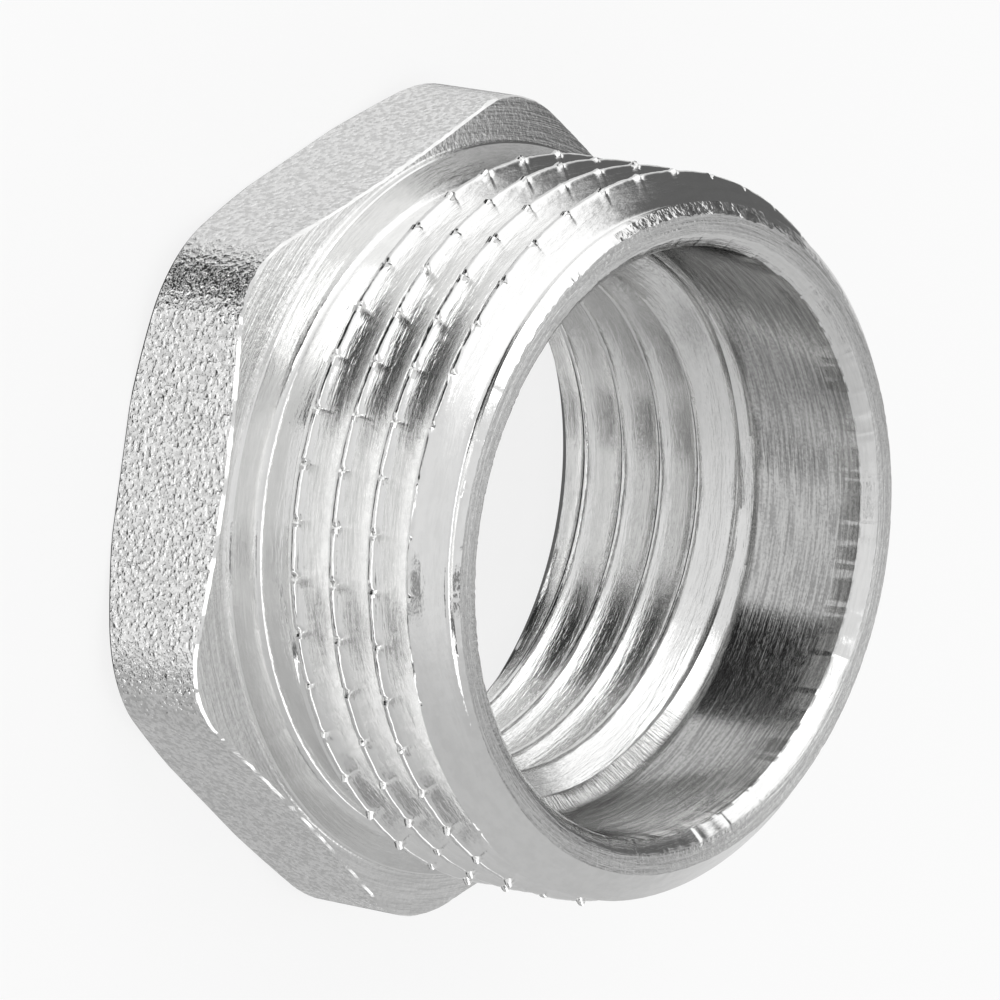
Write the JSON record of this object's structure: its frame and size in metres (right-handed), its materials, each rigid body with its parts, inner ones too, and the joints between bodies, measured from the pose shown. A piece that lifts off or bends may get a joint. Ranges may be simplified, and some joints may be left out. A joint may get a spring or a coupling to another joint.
{
  "type": "hex bushing",
  "caption": "Plated reducing bushing with a hexagon collar, a notched male pipe thread outside and a smaller female pipe thread in its stepped through bore.",
  "frame": {"origin": "centre of the hexagon's back face, on the axis of the bore", "axes": "+Z along the bore from the hexagon to the threaded nose, +X through a corner of the hexagon, +Y through a flat"},
  "size_m": [0.03, 0.027, 0.0149],
  "materials": {
    "bright_plate": "bright nickel plate over brass, blasted on the hexagon's flats and turned elsewhere"
  },
  "bodies": {
    "root": {"hex_bushing": "bright_plate"}
  },
  "joints": []
}
